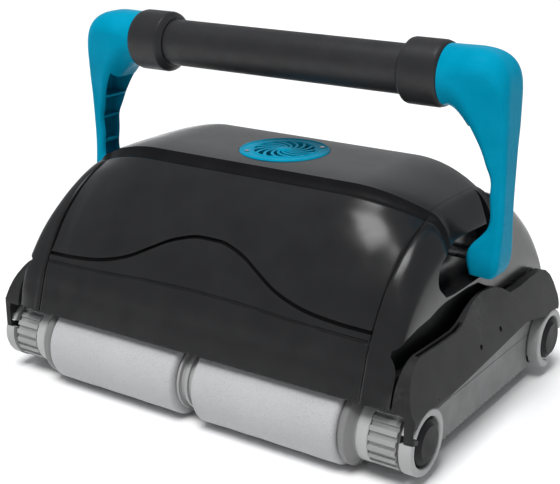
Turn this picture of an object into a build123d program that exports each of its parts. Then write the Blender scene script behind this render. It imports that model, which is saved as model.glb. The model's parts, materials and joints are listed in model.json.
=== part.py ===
"""Robotic pool cleaner: domed hood, tracked chassis, foam rollers, pump, filter bag and carrying handle.

Frame: origin on the floor under the middle of the machine, +X to its right side, +Y to the rear, +Z up.
All lengths are millimetres.
"""
import os
from math import cos, degrees, hypot, pi, radians, sin

from build123d import *

# ---- driving dimensions -------------------------------------------------------------------------
GAP = 0.4                 # clearance between neighbouring bodies
RUN = 0.05                # radial clearance of a running fit
WALL = 3.0

# rollers, wheels and tracks
FOAM_R = 35.5             # the foam rollers carry the machine on the floor
AXLE_Y = 120.0            # the axles lie this far in front of and behind the middle
AXLE_Z = FOAM_R
AXLE_R = 4.0
AXLE_END = 204.0
BUSH_R = 8.0
FOAM_X0 = 9.5
FOAM_X1 = 147.5
CORE_R = 27.5
WHEEL_X0 = 148.2
FLANGE_X0 = 161.5
TRACK_X0 = 172.0
TRACK_X1 = 195.5
TRACK_R = 26.2            # over the teeth
TRACK_IN_R = 21.6
TOOTH_H = 2.0
TRACK_TEETH = 80
PULLEY_R = 14.0
PULLEY_Z = AXLE_Z + TRACK_IN_R - GAP - PULLEY_R

# sides
PLATE_X0 = 196.0
PLATE_X1 = 198.6
PLATE_Y = 104.0
PLATE_Z0, PLATE_Z1 = 14.0, 75.0
RING_X0 = 199.0
RING_X1 = 209.5
RING_R = 27.0
RING_IN_R = 20.5
HUB_R = 18.5
HUB_X1 = 211.5
FRONT_OPENING = (150.0, 163.0)     # where the guard rings are open: degrees from the rear over the top
REAR_OPENING = (-98.0, 6.0)
COVER_X0 = 191.4          # inner edge of the side cover's upper part
COVER_WALL = 7.5          # thickness of its outer wall
COVER_X1 = 210.0
LEAN = 0.30               # how far the outer wall leans in per mm of height, above LEAN_Z
LEAN_Z = 62.0
COVER_Y0, COVER_Y1 = -146.0, 138.0
COVER_LOW_Z = 66.0        # lowest point of its deck, clear of the track
COVER_ROOF_Z = 92.0       # underside of its deck
COVER_CORNER = 4.0        # rounding of the cover's corners, seen from above

# hood and side arches
HOOD_X = 164.0
HOOD_TOP = 207.6
SKIRT_Z = 67.5            # lower edge of the hood
ARCH_X0 = 164.4
ARCH_X1 = 189.5
# how far the arch has sunk from the hood's seam towards its foot, at each distance from the middle
ARCH_FALL = [(ARCH_X0, 0.0), (172.0, 0.02), (177.0, 0.08), (181.0, 0.18), (184.5, 0.32),
             (187.5, 0.52), (ARCH_X1, 0.80)]
ARCH_FALL_INSIDE = [(ARCH_X0 + WALL, 0.03), (177.0, 0.11), (181.0, 0.22), (184.0, 0.35),
                    (ARCH_X1 - WALL, 0.56)]

# handle
PIVOT_Z = 147.0           # the handle turns about a line along X at y = 0
GRIP_Z = 290.2
GRIP_R = 20.5
COLLAR_R = 26.9
COLLAR_X0 = 118.2
COLLAR_X1 = 155.2
ARM_SHELL = 3.0           # wall of the hollow part of the arms
PIN_R = 6.0
NICHE_X0 = 172.0          # back wall of the niche that the handle turns in
NICHE_Y0, NICHE_Y1 = -45.0, 34.0
NICHE_Z0, NICHE_Z1 = 127.0, 172.0

# pump and outlet
GRILLE_R = 40.0
GRILLE_IN_R = 27.0
SEAT_Z = HOOD_TOP - 6.0
GRILLE_VANES = 14
GRILLE_SCREW_R = (GRILLE_R + GRILLE_IN_R) / 2
GRILLE_SCREW_ANGLE = 44.0
SCREW_R = 2.2
SCREW_DEPTH = 5.2          # the cover's screw heads lie this deep in their holes
DUCT_R = 36.0
MOTOR_R = 34.0
SHAFT_R = 3.0

# tray and lid
TRAY_X = 150.0
TRAY_Y = 80.5
TRAY_Z0 = 15.5
TRAY_Z1 = 72.0
LID_X = 122.0
LID_Y = 70.0
LID_Z0 = 12.0
LID_T = 3.2
REST_X, REST_Y, REST_Z = 24.0, 60.0, 8.0      # flat pad under the lid, below the lock tabs
FLAP_PIN_Z = LID_Z0 + LID_T + 2.1
INTAKE_X0, INTAKE_X1, INTAKE_Y = 29.0, 78.0, 20.0
BAG_X, BAG_Y, BAG_TOP = 88.0, 56.0, 59.5
BRIDGE_Z = 60.5
TAB_X, TAB_Y, TAB_PIN_R = 133.0, 45.0, 4.0

# cable gland on the rear of the hood
GLAND_X, GLAND_Z = 110.0, 86.0
GLAND_R = 8.0
GLAND_BORE_R = 4.5

# side profiles from the lower edge up to the middle of the top: (distance from the middle, height)
HOOD_MIDDLE = [(148, SKIRT_Z), (142.5, 87), (135, 111), (120, 141), (100, 166.5), (79, 186.5),
               (60, 199.0), (50, 204.0), (36, 207.0), (18, HOOD_TOP), (0, HOOD_TOP)]
HOOD_SEAM = [(148, SKIRT_Z), (142.4, 86), (134, 109.5), (115, 141), (94, 160.5), (72, 175),
             (55, 183.0), (44, 187.0), (32, 189.8), (16, 191), (0, 191)]
ARCH_OUTER = [(143, SKIRT_Z), (141, 80), (135, 93), (124, 101), (108, 105), (85, 109),
              (68, 114), (56, 118), (42, 123), (20, 127), (0, 128)]
# outline of the side cover seen from the side: (y, height)
COVER_TOP = [(COVER_Y0, 62), (-145.5, 70), (-143, 79), (-139.5, 86), (-135, 91.5), (-129, 96.5),
             (-123, 99.8), (-115, 101.5), (-76, 100.2), (-55, 100), (-45, 102), (-36, 106),
             (-28, 110), (-17, 113.8), (-1, 116.2), (19, 113.6), (36, 107.7), (47, 101), (68, 100),
             (90, 101), (116, 100.5), (124, 98), (131, 92), (135, 84), (COVER_Y1, 71), (COVER_Y1, 62)]
COVER_LOW = [(128, 58), (67, 69.3), (5, 65.7), (-69, 61.6), (-108, 58), (-139, 55), (COVER_Y0, 55)]
# handle arm, from the collar round the bend and down to the pivot boss:
# (outer x, outer z, inner x, inner z, half depth along Y, corner radius)
ARM_STATIONS = [
    (155.2, 314.7, 155.2, 265.7, 24.5, 24.2),
    (176.0, 314.7, 163.0, 266.0, 24.5, 22.0),
    (195.0, 312.0, 171.5, 261.0, 24.0, 18.5),
    (207.0, 303.0, 179.0, 253.5, 22.5, 14.5),
    (211.8, 287.0, 186.0, 244.0, 20.5, 11.5),
    (212.3, 267.0, 191.5, 234.5, 18.0, 8.5),
    (212.3, 242.0, 196.0, 222.0, 15.3, 6.5),
    (212.3, 215.0, 199.5, 205.0, 13.3, 5.2),
    (212.3, 188.0, 200.3, 186.0, 12.6, 4.8),
    (212.3, 167.0, 197.0, 170.0, 14.3, 5.5),
    (212.0, 150.0, 186.0, 157.0, 16.3, 6.0),
    (210.5, 139.0, 183.0, 143.0, 15.5, 6.0),
    (206.0, 132.0, 184.5, 133.5, 13.0, 5.0),
]


# ---- helpers --------------------------------------------------------------------------------------
def block(x0, x1, y0, y1, z0, z1):
    """A box between two corners."""
    return Pos((x0 + x1) / 2, (y0 + y1) / 2, (z0 + z1) / 2) * Box(x1 - x0, y1 - y0, z1 - z0)


def rod_x(radius, x0, x1, y, z):
    """A cylinder along X."""
    return Pos((x0 + x1) / 2, y, z) * Rot(0, 90, 0) * Cylinder(radius, x1 - x0)


def rod_y(radius, y0, y1, x, z):
    """A cylinder along Y."""
    return Pos(x, (y0 + y1) / 2, z) * Rot(90, 0, 0) * Cylinder(radius, y1 - y0)


def rod_z(radius, z0, z1, x, y):
    """A cylinder along Z."""
    return Pos(x, y, (z0 + z1) / 2) * Cylinder(radius, z1 - z0)


def turned_x(profile, y, z):
    """A body of revolution about the line through (y, z) along X; profile is a closed (x, radius) outline."""
    face = make_face(Polyline(*profile, close=True))
    return Pos(0, y, z) * revolve(face, Axis.X)


def turned_z(profile):
    """A body of revolution about the Z axis; profile is a closed (radius, height) outline."""
    face = make_face(Polyline(*profile, close=True))
    return revolve(Plane.XZ * face, Axis.Z)


def side_sheet(outline, x0, x1):
    """A plate with a (y, z) outline, from x0 to x1."""
    face = make_face(Polyline(*outline, close=True))
    return extrude(Plane.YZ.offset(x0) * face, x1 - x0)


def full_profile(half):
    """Both halves of a profile that is symmetric front to rear."""
    return [(-y, z) for y, z in half] + [(y, z) for y, z in reversed(half[:-1])]


def blended(a, b, share):
    """A profile between a and b."""
    return [(ya + (yb - ya) * share, za + (zb - za) * share) for (ya, za), (yb, zb) in zip(a, b)]


def inset(points, depth):
    """An open profile moved inwards by depth, its ends kept on their level."""
    moved = []
    for i, (y, z) in enumerate(points):
        ya, za = points[max(i - 1, 0)]
        yb, zb = points[min(i + 1, len(points) - 1)]
        run = hypot(yb - ya, zb - za)
        moved.append((y + (zb - za) / run * depth, z - (yb - ya) / run * depth))
    moved[0] = (points[0][0] + depth, points[0][1])
    moved[-1] = (points[-1][0] - depth, points[-1][1])
    return moved


def section(x, points):
    """The closed face under an open profile, in the plane at x."""
    return Plane.YZ.offset(x) * make_face(Spline(*points) + Line(points[-1], points[0]))


def mirrored(shape):
    return mirror(shape, Plane.YZ)


def turned_about_z(shape):
    return Rot(0, 0, 180) * shape


def joined(*shapes):
    """Separate solids kept in one node."""
    solids = []
    for shape in shapes:
        solids += shape.solids()
    return Compound(children=solids)


def save(name, shape):
    shape.label = name
    export_step(shape, f"parts/{name}.step")


def save_pair(name, right):
    """A right-hand part and its mirror image."""
    save(f"right_{name}", right)
    save(f"left_{name}", mirrored(right))


# ---- hood and side arches ---------------------------------------------------------------------------
def hood():
    """The domed top shell, with a round seat for the outlet grille."""
    stations = [(-HOOD_X, 1.0), (-135, 0.3), (-100, 0.0), (0, 0.0), (100, 0.0), (135, 0.3), (HOOD_X, 1.0)]
    outer = []
    inner = []
    for x, share in stations:
        profile = full_profile(blended(HOOD_MIDDLE, HOOD_SEAM, share))
        outer.append(section(x, profile))
        inner.append(section(x * (HOOD_X - WALL) / HOOD_X, inset(profile, WALL)))
    shell = loft(outer) - loft(inner)
    shell -= rod_z(GRILLE_R + 0.3, SEAT_Z, HOOD_TOP + 5, 0, 0)
    shell += rod_z(GRILLE_R + 3, SEAT_Z - 3, SEAT_Z, 0, 0) - rod_z(DUCT_R - 3, SEAT_Z - 3, SEAT_Z, 0, 0)
    shell += rod_z(GRILLE_R + 3, SEAT_Z - 0.1, HOOD_TOP - 2.5, 0, 0) - rod_z(GRILLE_R + 0.3, 150, 210, 0, 0)
    shell -= rod_z(DUCT_R - 3, SEAT_Z - 8, HOOD_TOP + 5, 0, 0)
    return shell - rod_y(GLAND_R + 0.1, 120, 160, GLAND_X, GLAND_Z)


def arch():
    """The right side arch: the shoulder beside the hood, hollow, with the niche for the handle's foot."""
    outer = []
    for x, share in ARCH_FALL:
        outer.append(section(x, full_profile(blended(HOOD_SEAM, ARCH_OUTER, share))))
    inner = []
    for x, share in ARCH_FALL_INSIDE:
        inner.append(section(x, inset(full_profile(blended(HOOD_SEAM, ARCH_OUTER, share)), WALL + 1)))
    niche = block(NICHE_X0, ARCH_X1 + WALL, NICHE_Y0, NICHE_Y1, NICHE_Z0, NICHE_Z1)
    lining = block(NICHE_X0 - WALL, ARCH_X1 + WALL, NICHE_Y0 - WALL, NICHE_Y1 + WALL,
                   NICHE_Z0 - WALL, NICHE_Z1 + WALL)
    shell = loft(outer, ruled=True) - (loft(inner, ruled=True) - lining)
    return shell - niche


def outside_lean(depth):
    """All that lies outside the side cover's leaning wall, moved in by depth."""
    top = 140.0
    face_x = COVER_X1 - depth
    section_face = make_face(Polyline((face_x, LEAN_Z), (face_x - LEAN * (top - LEAN_Z), top),
                                      (COVER_X1 + 20, top), (COVER_X1 + 20, LEAN_Z), close=True))
    return extrude(Plane.XZ.offset(-180) * section_face, 360)


def side_cover():
    """The right outer cover: a narrow deck above the track and a leaning wall down to the hub."""
    shape = side_sheet(COVER_TOP + COVER_LOW, COVER_X0, COVER_X1)
    inside = block(COVER_X0 - 1, COVER_X1 - COVER_WALL, -180, 180, 0, COVER_LOW_Z)
    inside += block(COVER_X0 - 1, COVER_X1 - COVER_WALL, -122, 116, 0, COVER_ROOF_Z)
    shape -= inside - outside_lean(COVER_WALL)
    shape -= block(COVER_X0 + 2.2, COVER_X0 + 5.2, -116, -42, COVER_ROOF_Z + 2.5, 140)
    shape -= outside_lean(0)
    for y in (-AXLE_Y, AXLE_Y):
        shape -= rod_x(RING_R + GAP, COVER_X0 - 1, COVER_X1 + 1, y, AXLE_Z)
    width = 60
    plan = RectangleRounded(width, COVER_Y1 - COVER_Y0, COVER_CORNER)
    plan = Pos(COVER_X1 - width / 2, (COVER_Y0 + COVER_Y1) / 2) * plan
    cover = (shape + tongue()) & extrude(plan, 200)
    for y, z in screw_places():
        seat = lean_x(z) - SCREW_DEPTH
        cover -= rod_x(SCREW_R + 0.1, seat - 0.1, COVER_X1 + 1, y, z)
    return cover


def lean_x(z):
    """Distance of the cover's outer face from the middle at height z."""
    return COVER_X1 - LEAN * max(z - LEAN_Z, 0)


def on_ring(radius, angle):
    """The (y, z) point at an angle round the front axle, in degrees from the rear over the top."""
    return -AXLE_Y + radius * cos(radians(angle)), AXLE_Z + radius * sin(radians(angle))


def tongue():
    """The strut of the side cover that passes through the front guard ring's opening to the hub."""
    start, end = FRONT_OPENING
    slack = 1.3               # degrees, keeps it clear of both ends of the ring
    upper_y, upper_z = on_ring(RING_R + GAP, start + slack)
    lower_y, lower_z = on_ring(RING_R + GAP, end - slack)
    root_z = COVER_LOW[-1][1] + 1
    outline = [(upper_y, root_z), (COVER_Y0, root_z), (max(lower_y, COVER_Y0), lower_z),
               on_ring(HUB_R - 2, end - slack), on_ring(HUB_R - 2, start + slack), (upper_y, upper_z)]
    strut = side_sheet(outline, COVER_X1 - COVER_WALL, COVER_X1)
    return strut - rod_x(HUB_R + 0.1, COVER_X0 - 1, COVER_X1 + 1, -AXLE_Y, AXLE_Z)


def screw_places():
    return [(-22.0, 77.0), (16.5, 79.5)]


def side_plate():
    """The plate beside the track, between the wheels."""
    plate = block(PLATE_X0, PLATE_X1, -PLATE_Y, PLATE_Y, PLATE_Z0, PLATE_Z1)
    for y in (-AXLE_Y, AXLE_Y):
        plate -= rod_x(RING_R + 2.2, PLATE_X0 - 1, PLATE_X1 + 1, y, AXLE_Z)
    return plate


def guard_ring(y, start, end):
    """A ring around a hub, open from angle start to angle end, in degrees from the rear over the top."""
    ring = rod_x(RING_R, RING_X0, RING_X1, y, AXLE_Z) - rod_x(RING_IN_R, RING_X0, RING_X1, y, AXLE_Z)
    ring = fillet(ring.faces().sort_by(Axis.X)[-1].edges(), 1.8)
    reach = 2 * RING_R
    steps = 6
    opening = [(y, AXLE_Z)]
    for i in range(steps + 1):
        angle = radians(start + (end - start) * i / steps)
        opening.append((y + reach * cos(angle), AXLE_Z + reach * sin(angle)))
    return ring - side_sheet(opening, RING_X0 - 1, RING_X1 + 1)


def hub(y):
    """A fixed hub that caps and holds the axle's end."""
    profile = [(PLATE_X0 + 0.2, AXLE_R), (PLATE_X0 + 0.2, HUB_R), (RING_X1 - 1.5, HUB_R), (RING_X1, 16.5),
               (HUB_X1 - 1.5, 15.5), (HUB_X1, 14), (HUB_X1, 0), (AXLE_END + 0.1, 0), (AXLE_END + 0.1, AXLE_R)]
    return turned_x(profile, y, AXLE_Z)


# ---- tracks, wheels, rollers ----------------------------------------------------------------------------
def track_loop(radius):
    """The closed (y, z) outline of a band at the given radius round both wheels, as a face."""
    band = SlotCenterToCenter(2 * AXLE_Y, 2 * radius)
    return Plane.YZ * Pos(0, AXLE_Z) * band


def track():
    """The right toothed track; its inside is smooth."""
    base_r = TRACK_R - TOOTH_H
    band = extrude(track_loop(base_r) - track_loop(TRACK_IN_R), TRACK_X1 - TRACK_X0)
    straight = 2 * AXLE_Y
    bend = pi * TRACK_R
    pitch = 2 * (straight + bend) / TRACK_TEETH
    tooth = Box(TRACK_X1 - TRACK_X0, pitch * 0.5, TOOTH_H + 0.4)
    teeth = []
    for i in range(TRACK_TEETH):
        s = (i + 0.5) * pitch
        if s < straight:
            y, z, angle = s - AXLE_Y, TRACK_R, 0.0
        elif s < straight + bend:
            turn = (s - straight) / TRACK_R
            y, z, angle = AXLE_Y + TRACK_R * sin(turn), TRACK_R * cos(turn), turn
        elif s < 2 * straight + bend:
            y, z, angle = AXLE_Y - (s - straight - bend), -TRACK_R, pi
        else:
            turn = (s - 2 * straight - bend) / TRACK_R
            y, z, angle = -AXLE_Y - TRACK_R * sin(turn), -TRACK_R * cos(turn), pi + turn
        middle = TRACK_R - TOOTH_H / 2 - 0.2
        y -= (TRACK_R - middle) * sin(angle)
        z -= (TRACK_R - middle) * cos(angle)
        teeth.append(Pos((TRACK_X1 - TRACK_X0) / 2, y, AXLE_Z + z) * Rot(-degrees(angle), 0, 0) * tooth)
    return Pos(TRACK_X0, 0, 0) * (band + teeth)


def foam(y):
    return rod_x(FOAM_R, FOAM_X0, FOAM_X1, y, AXLE_Z) - rod_x(CORE_R, FOAM_X0, FOAM_X1, y, AXLE_Z)


def roller_core(y):
    """The plastic tube inside the foam, with a bearing web at its inner end."""
    bore = BUSH_R + RUN
    profile = [(FOAM_X0, bore), (FOAM_X0, CORE_R), (WHEEL_X0, CORE_R), (WHEEL_X0, 24.5), (22, 24.5),
               (22, 12), (20, bore)]
    return turned_x(profile, y, AXLE_Z)


def wheel(y):
    """The end wheel: a collar against the foam, a smooth flange, and the drum that the track runs on."""
    bore = BUSH_R + RUN
    drum = TRACK_IN_R - GAP
    profile = [(WHEEL_X0, bore), (WHEEL_X0, 31), (151, 33), (155, 33), (159.5, 25.5), (FLANGE_X0, 25),
               (FLANGE_X0 + 0.8, TRACK_R), (TRACK_X0 - 1.2, TRACK_R), (TRACK_X0 - GAP, 25.4),
               (TRACK_X0 - GAP, drum), (TRACK_X1, drum), (TRACK_X1, 18), (TRACK_X0 + 3, 18),
               (TRACK_X0 + 3, 12), (TRACK_X1, 12), (TRACK_X1, bore)]
    return turned_x(profile, y, AXLE_Z)


def bush(x0, x1, y):
    return rod_x(BUSH_R, x0, x1, y, AXLE_Z) - rod_x(AXLE_R, x0, x1, y, AXLE_Z)


def centre_ring(y):
    """The grooved ring between the two foam segments of an axle."""
    half = FOAM_X0 - GAP - 0.6
    profile = [(-half, AXLE_R), (-half, 29), (-half + 2.4, 29), (-half + 2.4, 25), (-1.6, 25), (-1.6, 27.5),
               (1.6, 27.5), (1.6, 25), (half - 2.4, 25), (half - 2.4, 29), (half, 29), (half, AXLE_R)]
    return turned_x(profile, y, AXLE_Z)


def front_roller_bracket():
    """The strut from the tray that holds the front centre ring from above and behind."""
    half = FOAM_X0 - GAP - 0.6
    saddle = rod_x(33.5, -half, half, -AXLE_Y, AXLE_Z) - rod_x(29.4, -half, half, -AXLE_Y, AXLE_Z)
    saddle -= block(-20, 20, -AXLE_Y - 60, -AXLE_Y + 60, AXLE_Z - 60, AXLE_Z + 6)
    saddle -= block(-20, 20, -AXLE_Y - 60, -AXLE_Y - 4, 0, AXLE_Z + 60)
    web = block(-5, 5, -AXLE_Y + 29.6, -TRAY_Y - 0.2, AXLE_Z + 8, AXLE_Z + 26)
    web -= rod_x(29.5, -10, 10, -AXLE_Y, AXLE_Z)
    return saddle + web


# ---- tray, lid, filter ----------------------------------------------------------------------------------
def tray():
    """The hull: four walls and a floor frame, open at the bottom for the lid."""
    body = block(-TRAY_X, TRAY_X, -TRAY_Y, TRAY_Y, TRAY_Z0, TRAY_Z1)
    body -= block(-TRAY_X + WALL, TRAY_X - WALL, -TRAY_Y + WALL, TRAY_Y - WALL, TRAY_Z0 + WALL, TRAY_Z1 + 1)
    body -= block(-LID_X + 10, LID_X - 10, -LID_Y + 10, LID_Y - 10, 0, TRAY_Z0 + WALL + 1)
    for side in (-1, 1):
        x0, x1 = sorted((side * (TRAY_X - 1), side * (TRACK_X0 - 2)))
        body += rod_x(10, x0, x1, 0, PULLEY_Z)
        x0, x1 = sorted((side * (TRAY_X - WALL - 1), side * (TRACK_X0 - 1)))
        body -= rod_x(AXLE_R + RUN, x0, x1, 0, PULLEY_Z)
        for y in (-TAB_Y, TAB_Y):
            body -= rod_z(TAB_PIN_R, 0, TRAY_Z0 + WALL + 1, side * TAB_X, y)
    return body


def motor_bridge():
    """The shelf across the tray that the pump motor stands on."""
    span = TRAY_Y - WALL - 0.2
    return block(-90, 90, -span, span, BRIDGE_Z, BRIDGE_Z + 3) - block(44, 86, 34, 70, 50, 70)


def bottom_lid():
    """The removable bottom: a rest pad, an intake mouth on each side and hinge ears for the flaps."""
    top = LID_Z0 + LID_T
    lid = block(-LID_X, LID_X, -LID_Y, LID_Y, LID_Z0, top)
    lid = fillet(lid.edges().filter_by(Axis.Z), 8)
    lid += block(-REST_X, REST_X, -REST_Y, REST_Y, REST_Z, LID_Z0 + 0.5)
    for side in (-1, 1):
        x0, x1 = sorted((side * INTAKE_X0, side * INTAKE_X1))
        lid -= block(x0, x1, -INTAKE_Y, INTAKE_Y, 0, 30)
        for x in (x0 - 3.5, x1 + 3.5):
            ear = block(x - 1.2, x + 1.2, -INTAKE_Y - 6, -INTAKE_Y, top - 0.1, top + 4.2)
            lid += ear - rod_x(1.5 + RUN, x - 2, x + 2, -INTAKE_Y - 3, FLAP_PIN_Z)
    return lid


def intake_flap(side):
    """The valve flap over one intake mouth, on its own hinge pin."""
    x0, x1 = sorted((side * INTAKE_X0, side * INTAKE_X1))
    base = LID_Z0 + LID_T + 0.3
    plate = block(x0 - 1.6, x1 + 1.6, -INTAKE_Y - 2, INTAKE_Y + 2, base, base + 1.8)
    return plate + rod_x(1.5, x0 - 4.7, x1 + 4.7, -INTAKE_Y - 3, FLAP_PIN_Z)


def lock_tab(side, y):
    """A quarter-turn tab that holds the lid; it points inwards when locked."""
    x = side * TAB_X
    low, high = LID_Z0 - 3.6, LID_Z0 - 0.3
    tab = rod_z(7.5, low, high, x, y)
    x0, x1 = sorted((x, x - side * 17))
    tab += block(x0, x1, y - 4.5, y + 4.5, low, high)
    tab += rod_z(6.5, high, TRAY_Z0 - 0.3, x, y)
    return tab + rod_z(TAB_PIN_R - RUN, TRAY_Z0 - 0.4, TRAY_Z0 + WALL + 1.5, x, y)


def filter_bag():
    """The cloth bag over the lid, open at the bottom."""
    base = LID_Z0 + LID_T + 0.2
    outer = block(-BAG_X, BAG_X, -BAG_Y, BAG_Y, base, BAG_TOP)
    outer = fillet(outer.edges().filter_by(Axis.Z) + outer.faces().sort_by(Axis.Z)[-1].edges(), 6)
    inner = block(-BAG_X + 1.5, BAG_X - 1.5, -BAG_Y + 1.5, BAG_Y - 1.5, base - 1, BAG_TOP - 1.5)
    inner = fillet(inner.edges().filter_by(Axis.Z) + inner.faces().sort_by(Axis.Z)[-1].edges(), 5)
    return outer - inner


def filter_frame():
    """The wire frame that keeps the bag open: four posts and a top rectangle."""
    x, y, wire = BAG_X - 5, BAG_Y - 5, 1.5
    base, top = LID_Z0 + LID_T + 0.1, BAG_TOP - 4
    frame = rod_x(wire, -x, x, -y, top) + rod_x(wire, -x, x, y, top)
    for side in (-1, 1):
        frame += rod_y(wire, -y, y, side * x, top)
        for end in (-1, 1):
            frame += rod_z(wire, base, top, side * x, end * y)
            frame += Pos(side * x, end * y, top) * Sphere(wire)
    return frame


# ---- pump and drives --------------------------------------------------------------------------------
def pump_motor():
    """The upright motor with cooling ribs, its shaft hole open at the top."""
    profile = [(0, BRIDGE_Z + 3), (MOTOR_R - 2, BRIDGE_Z + 3), (MOTOR_R, BRIDGE_Z + 5),
               (MOTOR_R, 122), (MOTOR_R - 6, 128),
               (SHAFT_R + RUN, 128), (SHAFT_R + RUN, 100), (0, 100)]
    body = turned_z(profile)
    for i in range(8):
        angle = i * 45
        body += Rot(0, 0, angle) * block(MOTOR_R - 1, MOTOR_R + 2.5, -1, 1, 70, 118)
    return body


def impeller():
    """The pump's propeller: a hub with a domed nose and four pitched blades."""
    low, high, tip = 158.0, 176.0, 30.0
    wheel_hub = turned_z([(SHAFT_R, low), (9, low), (9, high - 4), (6, high), (SHAFT_R, high)])
    blade = Pos(tip / 2 + 3, 0, (low + high) / 2 - 1) * Rot(38, 0, 0) * Box(tip - 6, 17, 1.8)
    for i in range(4):
        wheel_hub += Rot(0, 0, i * 90) * blade
    return wheel_hub - rod_z(SHAFT_R, low - 10, high + 10, 0, 0)


def outlet_duct():
    """The tube round the impeller, on three short legs."""
    tube = rod_z(DUCT_R, 140, SEAT_Z - 3.2, 0, 0) - rod_z(DUCT_R - 3, 139, SEAT_Z, 0, 0)
    for i in range(3):
        tube += Rot(0, 0, 30 + i * 120) * block(DUCT_R - 3, DUCT_R, -4, 4, 128, 141)
    return tube


def outlet_grille():
    """The round grille with swirling vanes in the top of the hood."""
    ring = turned_z([(GRILLE_IN_R, SEAT_Z + 0.1), (GRILLE_R, SEAT_Z + 0.1), (GRILLE_R, HOOD_TOP - 0.6),
                     (GRILLE_R - 1.2, HOOD_TOP + 0.4), (GRILLE_R - 2.2, HOOD_TOP + 0.4),
                     (GRILLE_R - 2.8, HOOD_TOP - 0.2), (GRILLE_IN_R + 2.6, HOOD_TOP - 0.2),
                     (GRILLE_IN_R + 2, HOOD_TOP + 0.4), (GRILLE_IN_R + 0.8, HOOD_TOP + 0.4),
                     (GRILLE_IN_R, HOOD_TOP - 0.4)])
    centre = turned_z([(0, SEAT_Z + 1), (7, SEAT_Z + 1), (7, HOOD_TOP), (5.5, HOOD_TOP + 0.8),
                       (0, HOOD_TOP + 1.2)])
    grille = ring + centre + [vane(i * 360 / GRILLE_VANES) for i in range(GRILLE_VANES)]
    for x, y in grille_screw_places():
        grille -= rod_z(SCREW_R + 0.2, HOOD_TOP - 0.8, HOOD_TOP + 2, x, y)
    return grille


def grille_screw_places():
    """Two places opposite each other on the grille's rim."""
    angle = radians(GRILLE_SCREW_ANGLE)
    x, y = GRILLE_SCREW_R * cos(angle), GRILLE_SCREW_R * sin(angle)
    return [(x, y), (-x, -y)]


def vane(start):
    """One curved vane from the grille's centre to its ring; start is its angle in degrees."""
    steps = 6
    sweep = 62.0
    r0, r1 = 5.5, GRILLE_IN_R + 1
    lead = []
    trail = []
    for i in range(steps + 1):
        share = i / steps
        r = r0 + (r1 - r0) * share
        angle = radians(start + sweep * share)
        half = (1.0 + 1.2 * share) / r
        lead.append((r * cos(angle + half), r * sin(angle + half)))
        trail.append((r * cos(angle - half), r * sin(angle - half)))
    edges = Spline(*lead) + Line(lead[-1], trail[-1]) + Spline(*reversed(trail)) + Line(trail[0], lead[0])
    face = make_face(edges)
    return Pos(0, 0, SEAT_Z + 1) * extrude(face, HOOD_TOP - SEAT_Z - 1)


def drive_motor():
    profile = [(92, 0), (92, 12), (96, 20), (140, 20), (140, 14), (TRAY_X - WALL - 0.2, 14),
               (TRAY_X - WALL - 0.2, AXLE_R + RUN), (128, AXLE_R + RUN), (128, 0)]
    return turned_x(profile, 0, PULLEY_Z)


def drive_pulley():
    """The drive pulley inside the right track, in one piece with its shaft."""
    shaft = rod_x(AXLE_R, 128.3, TRACK_X1 - 4, 0, PULLEY_Z)
    drum = turned_x([(TRACK_X0 + 0.5, AXLE_R - 1), (TRACK_X0 + 0.5, PULLEY_R), (TRACK_X1 - 0.6, PULLEY_R),
                     (TRACK_X1 - 0.6, AXLE_R - 1)], 0, PULLEY_Z)
    return shaft + drum


def cable_gland():
    """The gland in the rear of the hood where the floating cable enters."""
    bore = rod_y(GLAND_BORE_R, 120, 160, GLAND_X, GLAND_Z)
    body = rod_y(GLAND_R, 133, 148, GLAND_X, GLAND_Z) + rod_y(11, 147, 149.5, GLAND_X, GLAND_Z)
    return body + rod_y(8.5, 149, 153, GLAND_X, GLAND_Z) - bore


# ---- handle -----------------------------------------------------------------------------------------
def arm_section(station, trim=0.0):
    """The rounded cross-section of the arm at a station, made smaller all round by trim."""
    outer_x, outer_z, inner_x, inner_z, half, corner = station
    across = hypot(outer_x - inner_x, outer_z - inner_z)
    middle = ((outer_x + inner_x) / 2, 0, (outer_z + inner_z) / 2)
    inward = Vector(inner_x - outer_x, 0, inner_z - outer_z)
    plane = Plane(origin=middle, x_dir=inward, z_dir=inward.cross(Vector(0, 1, 0)))
    radius = max(corner - trim, 1.5)
    return plane * RectangleRounded(across - 2 * trim, 2 * (half - trim), radius)


def handle_arm():
    """The right arm: a barrel at the grip, bent down into a slender leg that is hollow inside, with ribs."""
    arm = loft([arm_section(station) for station in ARM_STATIONS])
    hollow = []
    for outer_x, outer_z, inner_x, inner_z, half, corner in ARM_STATIONS[3:10]:
        reach = 14.0 / hypot(outer_x - inner_x, outer_z - inner_z)
        open_x = inner_x - (outer_x - inner_x) * reach
        open_z = inner_z - (outer_z - inner_z) * reach
        hollow.append(arm_section((outer_x, outer_z, open_x, open_z, half, corner), ARM_SHELL))
    pocket = loft(hollow)
    for z in (189.0, 213.0, 234.0):
        pocket -= block(140, 220, -40, 40, z - 1.2, z + 1.2)
    return arm - pocket - rod_x(PIN_R + RUN, 150, 199, 0, PIVOT_Z)


def grip():
    """The tube between the collars."""
    bore = rod_x(GRIP_R - 3, -COLLAR_X0, COLLAR_X0, 0, GRIP_Z)
    return rod_x(GRIP_R, -COLLAR_X0, COLLAR_X0, 0, GRIP_Z) - bore


def collar():
    """The fatter end of the grip, against the arm."""
    profile = [(COLLAR_X0, 12), (COLLAR_X0, GRIP_R + 1.5), (COLLAR_X0 + 4, COLLAR_R - 0.6),
               (COLLAR_X0 + 6, COLLAR_R), (COLLAR_X1 - 5, COLLAR_R), (COLLAR_X1 - 1.5, COLLAR_R - 1),
               (COLLAR_X1, COLLAR_R - 3), (COLLAR_X1, 12)]
    return turned_x(profile, 0, GRIP_Z)


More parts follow.
